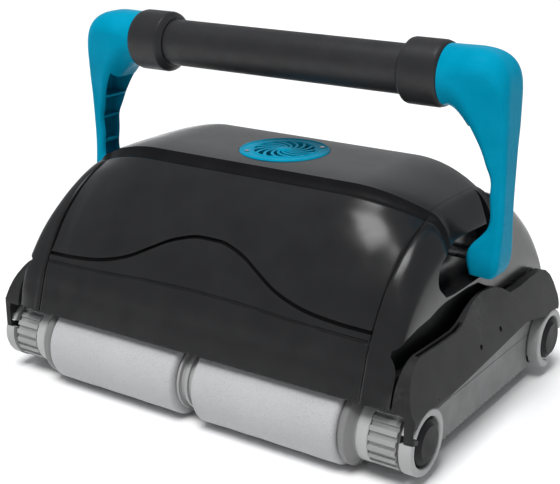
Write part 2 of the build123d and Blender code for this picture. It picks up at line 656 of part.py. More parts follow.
# ---- all parts --------------------------------------------------------------------------------------
def main():
    """Writes every part's STEP file."""
    os.makedirs("parts", exist_ok=True)
    save("hood", hood())
    save_pair("side_arch", arch())
    save_pair("side_cover", side_cover())
    save_pair("side_plate", side_plate())
    save_pair("track", track())
    rings = joined(guard_ring(-AXLE_Y, *FRONT_OPENING), guard_ring(AXLE_Y, *REAR_OPENING))
    save("guard_rings", joined(rings, mirrored(rings)))
    hubs = joined(hub(-AXLE_Y), hub(AXLE_Y))
    save("axle_hubs", joined(hubs, mirrored(hubs)))

    bushes = []
    for end, y in (("front", -AXLE_Y), ("rear", AXLE_Y)):
        save(f"{end}_axle", rod_x(AXLE_R, -AXLE_END, AXLE_END, y, AXLE_Z))
        for side, flip in (("right", False), ("left", True)):
            for part, make in (("foam", foam), ("roller_core", roller_core), ("wheel", wheel)):
                shape = make(y)
                save(f"{end}_{side}_{part}", mirrored(shape) if flip else shape)
        for x0, x1 in ((10, 19), (150, 160), (184, 194)):
            bushes.append(bush(x0, x1, y))
            bushes.append(mirrored(bush(x0, x1, y)))
    save("roller_bushes", joined(*bushes))
    save("centre_rings", joined(centre_ring(-AXLE_Y), centre_ring(AXLE_Y)))
    bracket = front_roller_bracket()
    save("roller_brackets", joined(bracket, turned_about_z(bracket)))

    save("tray", tray())
    save("motor_bridge", motor_bridge())
    save("bottom_lid", bottom_lid())
    save("right_intake_flap", intake_flap(1))
    save("left_intake_flap", intake_flap(-1))
    for side, name in ((1, "right"), (-1, "left")):
        save(f"front_{name}_lock_tab", lock_tab(side, -TAB_Y))
        save(f"rear_{name}_lock_tab", lock_tab(side, TAB_Y))
    save("filter_bag", filter_bag())
    save("filter_frame", filter_frame())

    save("pump_motor", pump_motor())
    save("pump_seal", rod_z(9, 128.1, 132, 0, 0) - rod_z(SHAFT_R + RUN, 127, 133, 0, 0))
    save("pump_shaft", rod_z(SHAFT_R, 100.5, 176.5, 0, 0))
    save("impeller", impeller())
    save("outlet_duct", outlet_duct())
    save("outlet_grille", outlet_grille())
    save("control_board", block(42, 84, -30, 30, BRIDGE_Z + 3.2, BRIDGE_Z + 7))
    save_pair("drive_motor", drive_motor())
    save_pair("drive_pulley", drive_pulley())
    save("float_blocks", joined(block(-112, 90, -112, -86, 78, 126), block(-112, 90, 86, 112, 78, 126)))
    save("cable_gland", cable_gland())

    screws = [rod_z(SCREW_R, HOOD_TOP - 0.7, HOOD_TOP + 0.5, x, y) for x, y in grille_screw_places()]
    for y, z in screw_places():
        seat = lean_x(z) - SCREW_DEPTH
        head = rod_x(SCREW_R, seat, seat + 1.4, y, z)
        screws += [head, mirrored(head)]
    save("screws", joined(*screws))

    save("grip_tube", grip())
    save_pair("grip_collar", collar())
    save_pair("handle_arm", handle_arm())
    pin = rod_x(PIN_R, NICHE_X0, 198.5, 0, PIVOT_Z)
    save("handle_pins", joined(pin, mirrored(pin)))


main()
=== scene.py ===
"""Looks of the robotic pool cleaner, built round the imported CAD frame. Lengths are in metres."""

import json
from math import cos, pi, radians, sin

import bmesh
import bpy
import numpy as np
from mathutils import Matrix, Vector


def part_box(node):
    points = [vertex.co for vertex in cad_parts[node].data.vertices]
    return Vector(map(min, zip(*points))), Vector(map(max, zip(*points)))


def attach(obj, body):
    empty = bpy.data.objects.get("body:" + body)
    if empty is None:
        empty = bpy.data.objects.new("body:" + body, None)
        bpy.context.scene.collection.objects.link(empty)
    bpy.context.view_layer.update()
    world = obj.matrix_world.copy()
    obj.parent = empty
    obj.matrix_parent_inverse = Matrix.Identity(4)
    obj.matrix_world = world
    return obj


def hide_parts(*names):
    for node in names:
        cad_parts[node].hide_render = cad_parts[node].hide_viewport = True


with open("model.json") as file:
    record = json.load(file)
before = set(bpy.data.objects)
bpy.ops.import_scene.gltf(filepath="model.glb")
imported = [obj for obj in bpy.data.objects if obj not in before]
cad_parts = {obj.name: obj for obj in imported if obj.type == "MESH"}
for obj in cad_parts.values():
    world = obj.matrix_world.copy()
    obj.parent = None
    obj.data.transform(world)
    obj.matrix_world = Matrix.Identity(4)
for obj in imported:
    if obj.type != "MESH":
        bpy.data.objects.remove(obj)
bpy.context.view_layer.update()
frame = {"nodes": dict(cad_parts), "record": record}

NODES = frame["nodes"]
MM = 0.001
SIDES = (("right", 1), ("left", -1))
ENDS = (("front", -1), ("rear", 1))


# ---- camera, light, floor ---------------------------------------------------------------------
def camera():
    """The camera stands in front and to the right of the machine and looks down on it."""
    data = bpy.data.cameras.new("camera")
    data.lens = 77.7
    data.sensor_width = 36.0
    data.shift_x = 0.0023
    data.shift_y = 0.0081
    data.clip_end = 50
    obj = bpy.data.objects.new("camera", data)
    obj.location = (0.5701, -0.8558, 0.4702)
    obj.rotation_euler = (radians(90 - 18.94), 0, radians(33.97))
    bpy.context.scene.collection.objects.link(obj)
    bpy.context.scene.camera = obj


def area_light(name, place, target, size, energy):
    """A soft rectangular light at place that shines on target."""
    data = bpy.data.lights.new(name, "AREA")
    data.shape = "RECTANGLE"
    data.size = size[0]
    data.size_y = size[1]
    data.energy = energy
    obj = bpy.data.objects.new(name, data)
    obj.location = place
    obj.rotation_euler = (Vector(target) - Vector(place)).to_track_quat("-Z", "Y").to_euler()
    bpy.context.scene.collection.objects.link(obj)


def sun(direction, strength, spread):
    """A far light that comes from direction, soft by its spread in degrees, and not mirrored in anything."""
    data = bpy.data.lights.new("sun", "SUN")
    data.energy = strength
    data.angle = radians(spread)
    obj = bpy.data.objects.new("sun", data)
    obj.rotation_euler = Vector(direction).to_track_quat("Z", "Y").to_euler()
    obj.visible_glossy = False
    bpy.context.scene.collection.objects.link(obj)


def studio():
    """An even pale studio: a soft sky, a broad sun, one soft box overhead and a wall of light behind."""
    world = bpy.data.worlds.new("studio")
    world.use_nodes = True
    background = world.node_tree.nodes["Background"]
    background.inputs["Color"].default_value = (0.95, 0.97, 1.0, 1)
    background.inputs["Strength"].default_value = 0.34
    bpy.context.scene.world = world
    bpy.context.scene.view_settings.view_transform = "Standard"
    sun((0.06, -0.42, 0.90), 2.95, 26)
    area_light("softbox", (-0.06, -0.22, 1.50), (0.12, -0.10, 0.17), (0.40, 0.44), 4.5)
    area_light("rear_wall", (-1.0, 1.65, 0.75), (0, 0, 0.2), (2.6, 1.6), 2.2)
    bpy.ops.mesh.primitive_plane_add(size=30)
    floor = bpy.context.object
    floor.name = "floor"
    floor.data.materials.append(floor_material())


# ---- materials -----------------------------------------------------------------------------------
class Shader:
    """A node material under construction: a Principled shader with helpers that add texture nodes."""

    def __init__(self, name):
        self.material = bpy.data.materials.new(name)
        self.material.use_nodes = True
        self.tree = self.material.node_tree
        self.shader = self.tree.nodes["Principled BSDF"]
        self.place = self.tree.nodes.new("ShaderNodeTexCoord").outputs["Object"]

    def node(self, kind, **settings):
        """A new node with the given properties."""
        made = self.tree.nodes.new(kind)
        for key, value in settings.items():
            setattr(made, key, value)
        return made

    def link(self, a, b):
        self.tree.links.new(a, b)

    def noise(self, scale, detail=3.0, roughness=0.5, stretch=(1, 1, 1)):
        """Cloudy noise between about 0.3 and 0.7; scale is in features per metre."""
        mapping = self.node("ShaderNodeMapping")
        mapping.inputs["Scale"].default_value = stretch
        self.link(self.place, mapping.inputs["Vector"])
        tex = self.node("ShaderNodeTexNoise")
        tex.inputs["Scale"].default_value = scale
        tex.inputs["Detail"].default_value = detail
        tex.inputs["Roughness"].default_value = roughness
        self.link(mapping.outputs["Vector"], tex.inputs["Vector"])
        return tex.outputs["Fac"]

    def cells(self, scale):
        """The distance to the middle of each of many small cells."""
        tex = self.node("ShaderNodeTexVoronoi")
        tex.inputs["Scale"].default_value = scale
        self.link(self.place, tex.inputs["Vector"])
        return tex.outputs["Distance"]

    def spread(self, value, low, high, from_low=0.3, from_high=0.7):
        """value, stretched to run from low to high."""
        ramp = self.node("ShaderNodeMapRange")
        ramp.inputs["From Min"].default_value = from_low
        ramp.inputs["From Max"].default_value = from_high
        ramp.inputs["To Min"].default_value = low
        ramp.inputs["To Max"].default_value = high
        self.link(value, ramp.inputs["Value"])
        return ramp.outputs["Result"]

    def mix(self, factor, a, b):
        """A colour between a and b; each is a colour or a socket."""
        mixed = self.node("ShaderNodeMix", data_type="RGBA")
        for socket, value in ((mixed.inputs[6], a), (mixed.inputs[7], b)):
            if isinstance(value, tuple):
                socket.default_value = (*value, 1)
            else:
                self.link(value, socket)
        self.link(factor, mixed.inputs[0])
        return mixed.outputs[2]

    def edges(self, low=0.52, high=0.62):
        """About 1 on worn outer edges and 0 elsewhere."""
        pointy = self.node("ShaderNodeNewGeometry").outputs["Pointiness"]
        return self.spread(pointy, 0.0, 1.0, low, high)

    def colour(self, value):
        self.link(value, self.shader.inputs["Base Color"])

    def roughness(self, value):
        self.link(value, self.shader.inputs["Roughness"])

    def bump(self, height, strength, distance):
        """Relief from height, on top of any relief already there."""
        bump = self.node("ShaderNodeBump")
        bump.inputs["Strength"].default_value = strength
        bump.inputs["Distance"].default_value = distance
        self.link(height, bump.inputs["Height"])
        previous = self.shader.inputs["Normal"]
        if previous.is_linked:
            self.link(previous.links[0].from_socket, bump.inputs["Normal"])
        self.link(bump.outputs["Normal"], previous)


def moulded(name, tone, rough, grain=0.0, gloss_waves=0.0, wear=(1.5, 1.5, 1.5), specular=0.5,
            tint=(1, 1, 1)):
    """Moulded plastic: faint mottling, uneven gloss, optional grain or orange peel, and paler worn edges."""
    s = Shader(name)
    pale = tuple(min(c * 1.18 + 0.002, 1) for c in tone)
    worn = tuple(min(c * w + 0.01, 1) for c, w in zip(tone, wear))
    mottled = s.mix(s.spread(s.noise(35, 4), 0.0, 1.0), tone, pale)
    scuffed = s.spread(s.noise(260, 5, 0.7), 0.0, 1.0, 0.45, 0.62)
    wearing = s.node("ShaderNodeMath", operation="MULTIPLY")
    s.link(s.edges(), wearing.inputs[0])
    s.link(scuffed, wearing.inputs[1])
    s.colour(s.mix(wearing.outputs[0], mottled, worn))
    s.roughness(s.spread(s.noise(60, 6, 0.65), rough * 0.82, rough * 1.25))
    if grain:
        s.bump(s.noise(1700, 2, 0.6), grain, 0.00012)
    if gloss_waves:
        s.bump(s.noise(240, 1, 0.4), gloss_waves, 0.0002)
    s.shader.inputs["Specular IOR Level"].default_value = specular
    s.shader.inputs["Specular Tint"].default_value = (*tint, 1)
    return s.material


def foam_material(name, tone):
    """Open-cell foam: pits of two sizes, each darkened inside by a painted shade, on a dry matt surface."""
    s = Shader(name)
    pit_shade = tuple(c * 0.72 for c in tone)
    fine = s.cells(1500)
    coarse = s.cells(520)
    pits = s.spread(fine, 0.0, 1.0, 0.10, 0.45)
    holes = s.spread(coarse, 0.0, 1.0, 0.06, 0.30)
    both = s.node("ShaderNodeMath", operation="MULTIPLY")
    s.link(pits, both.inputs[0])
    s.link(holes, both.inputs[1])
    cloudy = s.mix(s.spread(s.noise(22, 4), 0, 1), tone, tuple(c * 0.93 for c in tone))
    # painted shade: the foam's colour is darkened inside the pits
    s.colour(s.mix(both.outputs[0], pit_shade, cloudy))
    s.roughness(s.spread(s.noise(90), 0.85, 0.97))
    s.bump(both.outputs[0], 0.35, 0.0005)
    s.bump(s.noise(60, 5), 0.25, 0.0012)
    s.shader.inputs["Sheen Weight"].default_value = 0.15
    return s.material


def wheel_material(tone, collar_shade):
    """Wheel with a painted shade on the collar, darker against the foam, and a paler flange and drum beyond
    COLLAR_END.
    """
    s = Shader("wheel_grey")
    parts = s.node("ShaderNodeSeparateXYZ")
    s.link(s.place, parts.inputs[0])
    reach = s.node("ShaderNodeMath", operation="ABSOLUTE")
    s.link(parts.outputs["X"], reach.inputs[0])
    outer = s.spread(reach.outputs[0], 0.0, 1.0, COLLAR_END - 0.2 * MM, COLLAR_END + 0.2 * MM)
    mottled = s.mix(s.spread(s.noise(35, 4), 0, 1), tone, tuple(c * 1.12 for c in tone))
    s.colour(s.mix(outer, collar_shade, mottled))
    s.roughness(s.spread(s.noise(60, 6, 0.65), 0.36, 0.5))
    s.bump(s.noise(1700, 2, 0.6), 0.15, 0.00012)
    return s.material


def rubber(name, tone, rough=0.62):
    """Moulded rubber: chalky in places, with a fine pebbled skin."""
    s = Shader(name)
    chalk = tuple(c * 1.12 + 0.01 for c in tone)
    s.colour(s.mix(s.spread(s.noise(48, 6, 0.65), 0, 1), tone, chalk))
    s.roughness(s.spread(s.noise(120, 5), rough * 0.85, rough * 1.2))
    s.bump(s.cells(1300), 0.22, 0.00025)
    s.bump(s.noise(300, 4), 0.2, 0.0003)
    return s.material


def metal(name, tone, rough):
    """Drawn stainless steel with fine lengthwise scratches."""
    s = Shader(name)
    s.shader.inputs["Metallic"].default_value = 1.0
    streaks = s.noise(700, 4, 0.6, stretch=(0.05, 1, 1))
    s.colour(s.mix(s.spread(streaks, 0, 1), tone, tuple(c * 0.85 for c in tone)))
    s.roughness(s.spread(streaks, rough * 0.8, rough * 1.3))
    s.bump(streaks, 0.1, 0.0001)
    return s.material


def cloth(name, tone):
    """Fine woven filter cloth."""
    s = Shader(name)
    waves = []
    for direction in ("X", "Y"):
        wave = s.node("ShaderNodeTexWave", wave_type="BANDS", bands_direction=direction)
        wave.inputs["Scale"].default_value = 320
        s.link(s.place, wave.inputs["Vector"])
        waves.append(wave.outputs["Fac"])
    weave = s.node("ShaderNodeMath", operation="MULTIPLY")
    s.link(waves[0], weave.inputs[0])
    s.link(waves[1], weave.inputs[1])
    s.colour(s.mix(weave.outputs[0], tuple(c * 0.7 for c in tone), tone))
    s.roughness(s.spread(s.noise(80), 0.8, 0.95))
    s.bump(weave.outputs[0], 0.5, 0.0003)
    return s.material


def floor_material():
    """A matt white sweep with faint clouds."""
    s = Shader("studio_floor")
    s.colour(s.mix(s.spread(s.noise(3, 4), 0, 1), (0.90, 0.90, 0.90), (0.93, 0.93, 0.93)))
    s.roughness(s.spread(s.noise(9), 0.75, 0.85))
    return s.material


COLLAR_END = 0.1610        # distance from the middle where the painted shade on the wheels' collars gives way to the paler flange
HOOD_BLACK = (0.0085, 0.0085, 0.0090)
COVER_BLACK = (0.0185, 0.0185, 0.0190)
GRIP_BLACK = (0.0130, 0.0130, 0.0140)
TEAL = (0.0, 0.215, 0.345)

MATERIALS = {
    "hood_black": moulded("hood_black", HOOD_BLACK, 0.20, gloss_waves=0.05, specular=0.42),
    # painted shade: a duller, darker copy of the hood's black, laid in the groove, the band and the channel's
    # back wall
    "recess_black": moulded("recess_black", (0.0035, 0.0035, 0.0040), 0.5, grain=0.1, specular=0.15),
    "cover_black": moulded("cover_black", COVER_BLACK, 0.32, grain=0.08, specular=0.10),
    "plate_grey": moulded("plate_grey", (0.150, 0.150, 0.150), 0.5, grain=0.35, wear=(1.2, 1.2, 1.2)),
    "track_grey": rubber("track_grey", (0.27, 0.27, 0.27)),
    "ring_grey": moulded("ring_grey", (0.30, 0.30, 0.30), 0.42, grain=0.15, wear=(1.2, 1.2, 1.2)),
    # the second tone is a painted shade on the collar, in the neck between foam and flange
    "wheel_grey": wheel_material((0.36, 0.36, 0.36), (0.17, 0.17, 0.17)),
    "hub_dark": moulded("hub_dark", (0.012, 0.012, 0.013), 0.45, grain=0.2, specular=0.12),
    "steel": metal("steel", (0.60, 0.60, 0.61), 0.25),
    "foam_grey": foam_material("foam_grey", (0.43, 0.43, 0.44)),
    "tab_teal": moulded("tab_teal", (0.0, 0.20, 0.31), 0.32, grain=0.1, wear=(1, 1.3, 1.3)),
    "bush_white": moulded("bush_white", (0.72, 0.72, 0.70), 0.4, grain=0.1, wear=(1, 1, 1)),
    "tray_black": moulded("tray_black", (0.020, 0.020, 0.021), 0.45, grain=0.3),
    "flap_black": moulded("flap_black", (0.028, 0.028, 0.029), 0.5, grain=0.3),
    "filter_cloth": cloth("filter_cloth", (0.72, 0.73, 0.72)),
    "motor_black": moulded("motor_black", (0.022, 0.022, 0.024), 0.38, grain=0.25),
    "seal_rubber": rubber("seal_rubber", (0.02, 0.02, 0.02)),
    "impeller_white": moulded("impeller_white", (0.62, 0.62, 0.62), 0.35, grain=0.1, wear=(1, 1, 1)),
    "teal": moulded("teal", TEAL, 0.28, gloss_waves=0.05, wear=(1, 1.25, 1.2), specular=0.015,
                    tint=(0.2, 0.7, 1.0)),
    "board_green": moulded("board_green", (0.01, 0.12, 0.04), 0.3, grain=0.1),
    "pulley_grey": moulded("pulley_grey", (0.30, 0.30, 0.30), 0.45, grain=0.2),
    "float_foam": foam_material("float_foam", (0.75, 0.75, 0.72)),
    "grip_black": moulded("grip_black", GRIP_BLACK, 0.46, grain=0.35, specular=0.4),
}


# ---- mesh helpers ----------------------------------------------------------------------------------
def new_object(name, verts, faces, material, smooth_angle=35):
    """A mesh object in the row frame, smooth shaded but for edges sharper than smooth_angle degrees."""
    mesh = bpy.data.meshes.new(name)
    mesh.from_pydata([tuple(v) for v in verts], [], faces)
    mesh.validate()
    obj = bpy.data.objects.new(name, mesh)
    bpy.context.scene.collection.objects.link(obj)
    mesh.materials.append(MATERIALS[material])
    tidy_normals(obj, smooth_angle)
    return obj


def tidy_normals(obj, smooth_angle):
    """Faces point outwards, and only edges sharper than smooth_angle stay sharp."""
    mesh = obj.data
    bm = bmesh.new()
    bm.from_mesh(mesh)
    bmesh.ops.recalc_face_normals(bm, faces=bm.faces)
    bm.to_mesh(mesh)
    bm.free()
    mesh.polygons.foreach_set("use_smooth", [True] * len(mesh.polygons))
    mesh.set_sharp_from_angle(angle=radians(smooth_angle))


def grid_faces(rows, columns, start=0, wrap=False):
    """Quads between rows of vertices, each row columns long."""
    faces = []
    for i in range(rows - 1):
        for j in range(columns if wrap else columns - 1):
            a = start + i * columns + j
            b = start + i * columns + (j + 1) % columns
            faces.append((a, b, b + columns, a + columns))
    return faces


def end_faces(count):
    """The two ends of a body with two rows of count vertices."""
    return [tuple(range(count)), tuple(range(2 * count - 1, count - 1, -1))]


def applied(obj):
    """The object's modifiers become part of its mesh."""
    graph = bpy.context.evaluated_depsgraph_get()
    mesh = bpy.data.meshes.new_from_object(obj.evaluated_get(graph))
    obj.modifiers.clear()
    obj.data = mesh
    return obj


def cut(obj, *cutters):
    """The cutters' volumes are taken out of the object."""
    for cutter in cutters:
        step = obj.modifiers.new("cut", "BOOLEAN")
        step.operation = "DIFFERENCE"
        step.solver = "EXACT"
        step.object = cutter
    applied(obj)
    for cutter in cutters:
        bpy.data.objects.remove(cutter)


def prism_x(name, outline, x0, x1, material="hood_black"):
    """A closed prism along X with a (y, z) outline."""
    count = len(outline)
    verts = [(x, y, z) for x in (x0, x1) for y, z in outline]
    return new_object(name, verts, grid_faces(2, count, wrap=True) + end_faces(count), material)


def prism_z(name, outline, z0, z1, material="hood_black"):
    """A closed prism along Z with an (x, y) outline."""
    count = len(outline)
    verts = [(x, y, z) for z in (z0, z1) for x, y in outline]
    return new_object(name, verts, grid_faces(2, count, wrap=True) + end_faces(count), material)


def lathe(name, profile, centre, axis, material, turns=96, smooth_angle=35):
    """A closed ring turned from a (along, radius) outline about the X or Z axis through centre."""
    verts = []
    for i in range(turns):
        angle = 2 * pi * i / turns
        for along, radius in profile:
            c, s = radius * cos(angle), radius * sin(angle)
            place = (along, c, s) if axis == "X" else (c, s, along)
            verts.append(tuple(p + q for p, q in zip(centre, place)))
    count = len(profile)
    faces = grid_faces(turns, count, wrap=True)
    last = (turns - 1) * count
    for j in range(count):
        faces.append((last + j, last + (j + 1) % count, (j + 1) % count, j))
    return new_object(name, verts, faces, material, smooth_angle)


def eased(value, low, high):
    """0 below low, 1 above high, and smooth between."""
    t = min(max((value - low) / (high - low), 0.0), 1.0)
    return t * t * (3 - 2 * t)


# ---- hood and arches ---------------------------------------------------------------------------------
HOOD_X = 0.1640
ARCH_X0, ARCH_X1 = 0.1644, 0.1895
# half profiles in millimetres, (distance, height): front up to the band, band, and top to its middle
FRONT_MIDDLE = [(148, 67.5), (142.5, 87), (135, 111), (120, 141), (100, 166.2), (79, 185.6),
                (62.5, 197.4)]
FRONT_SEAM = [(148, 67.5), (142.4, 86), (134, 109.5), (115, 141), (94, 161), (72, 175), (50, 184.2)]
BAND_MIDDLE = [(62.5, 197.4), (60.8, 198.2), (57.8, 201.0), (53.5, 205.8)]
BAND_SEAM = [(50, 184.2), (48.6, 184.8), (46, 186.8), (42.5, 190.0)]
TOP_MIDDLE = [(53.5, 205.8), (42, 206.5), (26, 206.9), (0, 207.0)]
TOP_SEAM = [(42.5, 190.0), (34, 191.2), (18, 191.8), (0, 191.9)]
FRONT_FOOT = [(143, 67.5), (141, 80), (135, 93), (124, 101), (108, 105), (85, 109), (56, 117.5)]
BAND_FOOT = [(56, 117.5), (53, 118.5), (50, 119.5), (46, 121)]
TOP_FOOT = [(46, 121), (30, 125), (15, 127.5), (0, 128)]
SEAM = (FRONT_SEAM, BAND_SEAM, TOP_SEAM)
FOOT = (FRONT_FOOT, BAND_FOOT, TOP_FOOT)
# the swept groove and the soft crease across the front: (distance from the middle, height)
GROOVE = [(0, 155), (16, 154.2), (37, 148.5), (54, 140.5), (76, 130), (102, 122.8), (132, 119.2),
          (164, 117.6)]
CREASE = [(0, 116.8), (50, 115.6), (100, 113.2), (164, 111)]
# rows across the crease and the groove: (distance along the surface, depth) in millimetres
CREASE_ROWS = [(-1.4, 0.1), (-0.6, 1.2), (0.6, 1.2), (1.3, 0)]
GROOVE_ROWS = [(-1.7, 0.1), (-1.2, 2.4), (1.2, 2.4), (1.6, -0.3), (2.5, -0.35)]
# plain rows below the crease, between crease and groove, above the groove, in the band and on the top
LOW_ROWS, MIDDLE_ROWS, HIGH_ROWS, BAND_ROWS, TOP_ROWS = 20, 14, 64, 8, 20
GROOVE_ROW = LOW_ROWS + len(CREASE_ROWS) + MIDDLE_ROWS
BAND_ROW = GROOVE_ROW + len(GROOVE_ROWS) + HIGH_ROWS
# rows whose strips get the painted shade: inside the groove, and across the band under the top's crease
PAINTED_SHADE_IN_GROOVE = [GROOVE_ROW, GROOVE_ROW + 1, GROOVE_ROW + 2]
PAINTED_SHADE_IN_BAND = list(range(BAND_ROW - 1, BAND_ROW + BAND_ROWS - 1))
BAND_HOLLOW = 0.9         # how far the band is dished
SKIN = 3 * MM             # wall of the hood
PAINTED_SHADE_SLOT = 1                # material index of the painted shade, a duller and darker black, in grooves and recesses
VALLEY, LIP = 1.8, 1.3    # depth of the valley beside each seam, and of the edge that turns in at the seam


def curve_through(points, steps=12):
    """A smooth line through the points, as an array of closely spaced ones."""
    out = []
    for i in range(len(points) - 1):
        p1, p2 = np.array(points[i], float), np.array(points[i + 1], float)
        p0 = np.array(points[i - 1], float) if i else 2 * p1 - p2
        p3 = np.array(points[i + 2], float) if i + 2 < len(points) else 2 * p2 - p1
        for k in range(steps):
            t = k / steps
            out.append(0.5 * (2 * p1 + (p2 - p0) * t + (2 * p0 - 5 * p1 + 4 * p2 - p3) * t * t
                              + (3 * p1 - p0 - 3 * p2 + p3) * t ** 3))
    out.append(np.array(points[-1], float))
    return np.array(out)


def lengths_along(line):
    """The distance along the line at each of its points."""
    return np.concatenate([[0], np.cumsum(np.hypot(*np.diff(line, axis=0).T))])


def mixed(a, b, share):
    """The outline that lies share of the way from a to b."""
    return [tuple(p + (q - p) * share for p, q in zip(m, n)) for m, n in zip(a, b)]


def height_at(outline, x):
    """The height of the line across the front at distance x from the middle."""
    line = curve_through(outline)
    return float(np.interp(x, line[:, 0], line[:, 1]))


def half_rows(front, band, top, x_mm):
    """Points (distance, height) and depths from the skirt to the top's middle, in rows that follow
    the crease and the groove across the front. Depth is how far a row sinks below the surface."""
    line = curve_through(front)
    run = lengths_along(line)
    crease = float(np.interp(height_at(CREASE, x_mm), line[:, 1], run))
    groove = float(np.interp(height_at(GROOVE, x_mm), line[:, 1], run))
    stops = list(np.linspace(0, crease - 1.8, LOW_ROWS)) + [crease + d for d, _ in CREASE_ROWS]
    stops += list(np.linspace(crease + 2.4, groove - 2.2, MIDDLE_ROWS)) + [groove + d for d, _ in GROOVE_ROWS]
    stops += list(np.linspace(groove + 4.0, run[-1], HIGH_ROWS))
    depths = [0] * LOW_ROWS + [depth for _, depth in CREASE_ROWS] + [0] * MIDDLE_ROWS
    depths += [depth for _, depth in GROOVE_ROWS] + [0] * HIGH_ROWS
    points = [np.interp(stops, run, line[:, 0]), np.interp(stops, run, line[:, 1])]
    for outline, count, hollow in ((band, BAND_ROWS, BAND_HOLLOW), (top, TOP_ROWS, 0)):
        line = curve_through(outline)
        run = lengths_along(line)
        stops = np.linspace(0, run[-1], count + 1)[1:]
        points = [np.concatenate([points[i], np.interp(stops, run, line[:, i])]) for i in (0, 1)]
        depths += [hollow * sin(pi * stop / run[-1]) for stop in stops]
    return np.array(points).T, depths


def painted_shade_strips(obj, rows, strips):
    """The strips of faces that start at these rows, front and rear, get the painted shade: a duller, darker
    black than the rest of the shell.
    """
    obj.data.materials.append(MATERIALS["recess_black"])
    grid = obj.data.polygons
    for face in grid:
        strip = face.index % (rows - 1)
        if len(face.vertices) == 4 and min(strip, rows - 2 - strip) in strips:
            face.material_index = PAINTED_SHADE_SLOT


def profile(front, band, top, x_mm, sink, lines=1.0, drop=0.0):
    """The whole front-to-rear profile in metres. sink(height) is a further depth in millimetres, lines
    is how much of the groove and crease is cut, and drop is how far the top has come down."""
    half, depths = half_rows(front, band, top, x_mm)
    along = np.gradient(half, axis=0)
    along /= np.hypot(along[:, 0], along[:, 1])[:, None]
    for i, depth in enumerate(depths):
        depth = depth * (lines if i < BAND_ROW else 1) + sink(half[i][1])
        half[i] += depth * np.array([-along[i][1], along[i][0]]) * (-1 if along[i][1] < 0 else 1)
        half[i][1] -= drop * (1 - eased(half[i][0], 34, 58))
    front_half = [(-y * MM, z * MM) for y, z in half]
    rear_half = [(y * MM, z * MM) for y, z in half[-2::-1]]
    return front_half + rear_half


def hood_profile(x):
    """The hood's profile at x: a valley runs beside each seam, and the edge at the seam turns in."""
    reach = abs(x) / MM
    share = max((reach - 100) / 64, 0) ** 2
    lines = [mixed(a, b, share) for a, b in zip((FRONT_MIDDLE, BAND_MIDDLE, TOP_MIDDLE), SEAM)]

    def sink(z):
        valley = VALLEY * eased(reach, 140, 156) * eased(z, 112, 132) * (1 - eased(z, 140, 186))
        lip = LIP * eased(reach, 162.0, 164) ** 2 * (1 - eased(z, 183, 187))
        return valley + lip

    return profile(*lines, reach, sink, 1 - eased(reach, 163.2, 164))


def hood():
    """The glossy top shell, a closed skin 3 mm thick with the round seat of the outlet grille."""
    inner = list(np.linspace(-0.1615, 0.1615, 131))
    edge = [0.1624, 0.1631, 0.1636, HOOD_X]
    xs = [-x for x in reversed(edge)] + inner + edge
    verts = []
    for x in xs:
        verts += [(x, y, z) for y, z in hood_profile(x)]
    rows = len(verts) // len(xs)
    skin = new_object("hood_shell", verts, grid_faces(len(xs), rows), "hood_black", 50)
    # painted shade in the groove and across the band
    painted_shade_strips(skin, rows, PAINTED_SHADE_IN_GROOVE + PAINTED_SHADE_IN_BAND)
    wall = skin.modifiers.new("wall", "SOLIDIFY")
    wall.thickness = SKIN
    wall.offset = -1
    applied(skin)
    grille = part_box("outlet_grille")
    radius = grille[1][0] + 0.4 * MM
    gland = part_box("cable_gland")
    gland_x, gland_z = (gland[0][0] + gland[1][0]) / 2, (gland[0][2] + gland[1][2]) / 2
    middle = (0, 0, 0)
    seat_outline = [(0.15, 0.0), (0.25, 0.0), (0.25, radius), (0.15, radius)]
    seat = lathe("seat_cut", seat_outline, middle, "Z", "hood_black")
    hole = rod_between("gland_cut", (gland_x, 0.11, gland_z), (gland_x, 0.17, gland_z), 8.2 * MM)
    cut(skin, seat, hole)
    tidy_normals(skin, 40)
    low = grille[0][2] - 0.2 * MM
    hole_radius, rim = 0.025, radius + 2.5 * MM
    ring_outline = [(low, hole_radius), (low, rim), (low + 3 * MM, rim), (low + 3 * MM, radius),
                    (low + 1 * MM, radius), (low + 1 * MM, hole_radius)]
    ring = lathe("hood_seat", ring_outline, middle, "Z", "hood_black")
    for piece in (skin, ring):
        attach(piece, "chassis")
        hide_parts("hood")


def rod_between(name, a, b, radius, material="hood_black", turns=48):
    """A plain closed rod, used as a cutter."""
    axis = Vector(b) - Vector(a)
    turn = axis.to_track_quat("Z", "Y").to_matrix()
    verts = []
    for end in (Vector(a), Vector(b)):
        for i in range(turns):
            angle = 2 * pi * i / turns
            verts.append(end + turn @ Vector((radius * cos(angle), radius * sin(angle), 0)))
    return new_object(name, verts, grid_faces(2, turns, wrap=True) + end_faces(turns), material)


# (y, z) outline of the niche for the handle's foot, in millimetres, and its back wall
NICHE = [(-58, 128), (-70, 140), (-66, 153), (-50, 162), (-38, 166.5), (-20, 167.5), (10, 166.5),
         (33, 164), (34, 150), (34, 127), (0, 126.5), (-40, 126.5), (-58, 128)]
NICHE_X = 0.1722
# plan of the slot that opens out behind the arch's saddle
SLOT = [(0.1662, 0.0330), (0.1725, 0.0300), (0.1800, 0.0250), (0.1960, 0.0180),
        (0.1960, 0.0360), (0.1800, 0.0350)]
# the channel between the arch and the side cover, dark from the painted shade on its back wall: its (y, z)
# outline in millimetres, and its back wall
CHANNEL = [(-138, 90), (-134, 108), (-122, 115), (-105, 118.5), (-86, 120), (-70, 123.5), (-60, 124.8),
           (-20, 124.8), (0, 123), (30, 108), (40, 90)]
CHANNEL_X = 0.1832
CUT_X = 0.195             # niche and channel are open outwards
